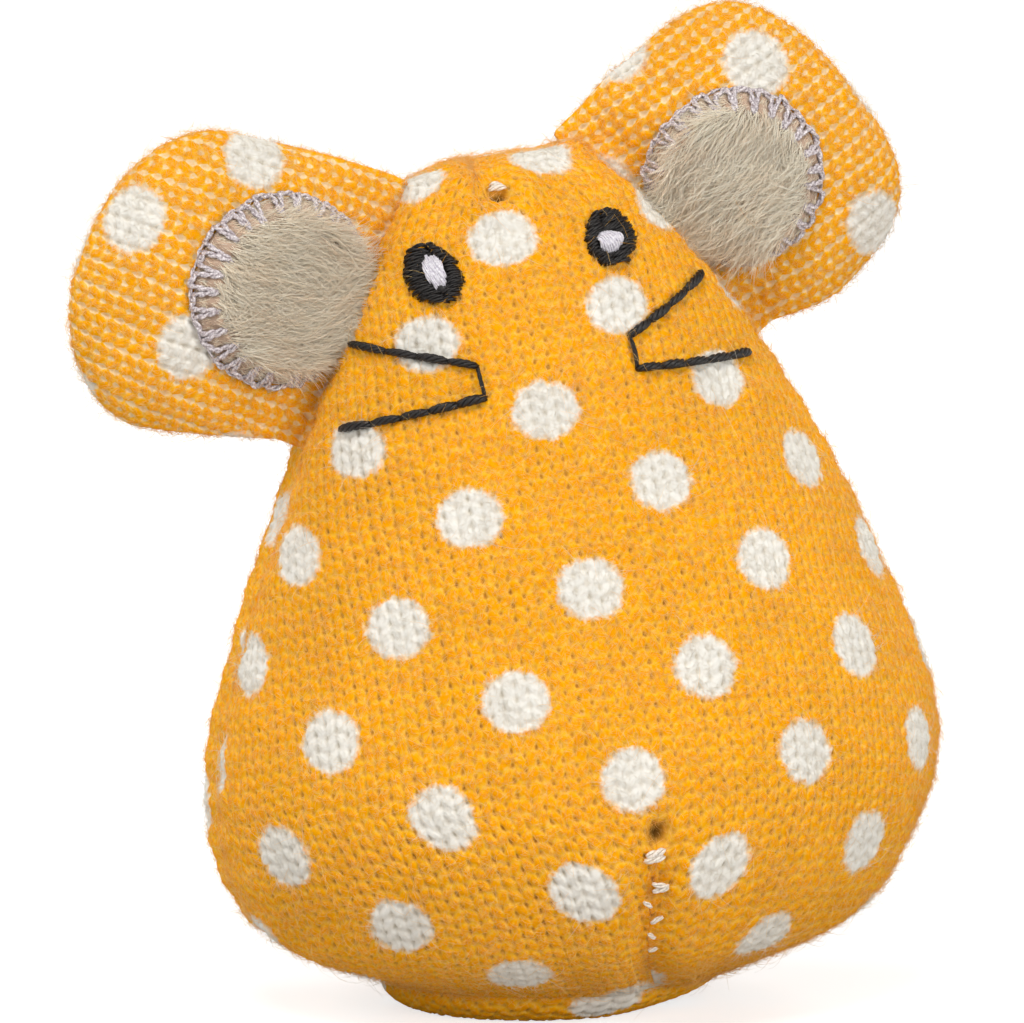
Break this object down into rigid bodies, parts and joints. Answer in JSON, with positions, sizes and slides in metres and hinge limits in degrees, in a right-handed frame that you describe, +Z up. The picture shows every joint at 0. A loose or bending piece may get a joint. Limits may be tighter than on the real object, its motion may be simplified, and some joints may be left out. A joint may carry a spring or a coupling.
{
  "type": "catnip mouse",
  "caption": "Stuffed knit cat toy shaped as an upright mouse, with a dotted pear body on a flat oval base, padded round ears that fold, plush ear patches and an embroidered face.",
  "frame": {"origin": "middle of the flat base, on the surface that the toy stands on", "axes": "+Z up, the face looks to -Y, +X is on the right of someone facing it; the head leans to -X"},
  "size_m": [0.0915, 0.0588, 0.1048],
  "materials": {
    "jersey": "printed knit, matt",
    "fibre_fill": "loose polyester fibre",
    "pouch": "non-woven, matt",
    "catnip": "dried leaf, matt",
    "white_thread": "spun thread, matt",
    "black_floss": "stranded floss, satin",
    "pale_floss": "stranded floss, satin",
    "plush": "short pile",
    "grey_thread": "shiny machine thread"
  },
  "bodies": {
    "body": {"front_panel": "jersey", "back_panel": "jersey", "base_panel": "jersey", "body_stuffing": "fibre_fill", "head_stuffing": "fibre_fill", "sachet_front": "pouch", "sachet_back": "pouch", "catnip_fill": "catnip", "belly_dart_thread": "white_thread", "forehead_thread": "white_thread", "left_eye_ring": "black_floss", "left_eye_highlight": "pale_floss", "left_whisker": "black_floss", "right_eye_ring": "black_floss", "right_eye_highlight": "pale_floss", "right_whisker": "black_floss", "left_ear_tab": "jersey", "right_ear_tab": "jersey"},
    "left_ear": {"left_ear_front": "jersey", "left_ear_back": "jersey", "left_ear_padding": "fibre_fill", "left_ear_patch": "plush", "left_patch_stitching": "grey_thread"},
    "right_ear": {"right_ear_front": "jersey", "right_ear_back": "jersey", "right_ear_padding": "fibre_fill", "right_ear_patch": "plush", "right_patch_stitching": "grey_thread"}
  },
  "joints": [
    {"name": "left_ear_fold", "type": "hinge", "parent": "body", "child": "left_ear", "pos_m": [-0.02229, 0, 0.07374], "axis": [0.3929, 0, 0.9196], "range_deg": [-35, 40], "stiffness_Nm_per_rad": 0.004},
    {"name": "right_ear_fold", "type": "hinge", "parent": "body", "child": "right_ear", "pos_m": [0.01562, 0, 0.08075], "axis": [0.6753, 0, -0.7375], "range_deg": [-35, 40], "stiffness_Nm_per_rad": 0.004}
  ]
}
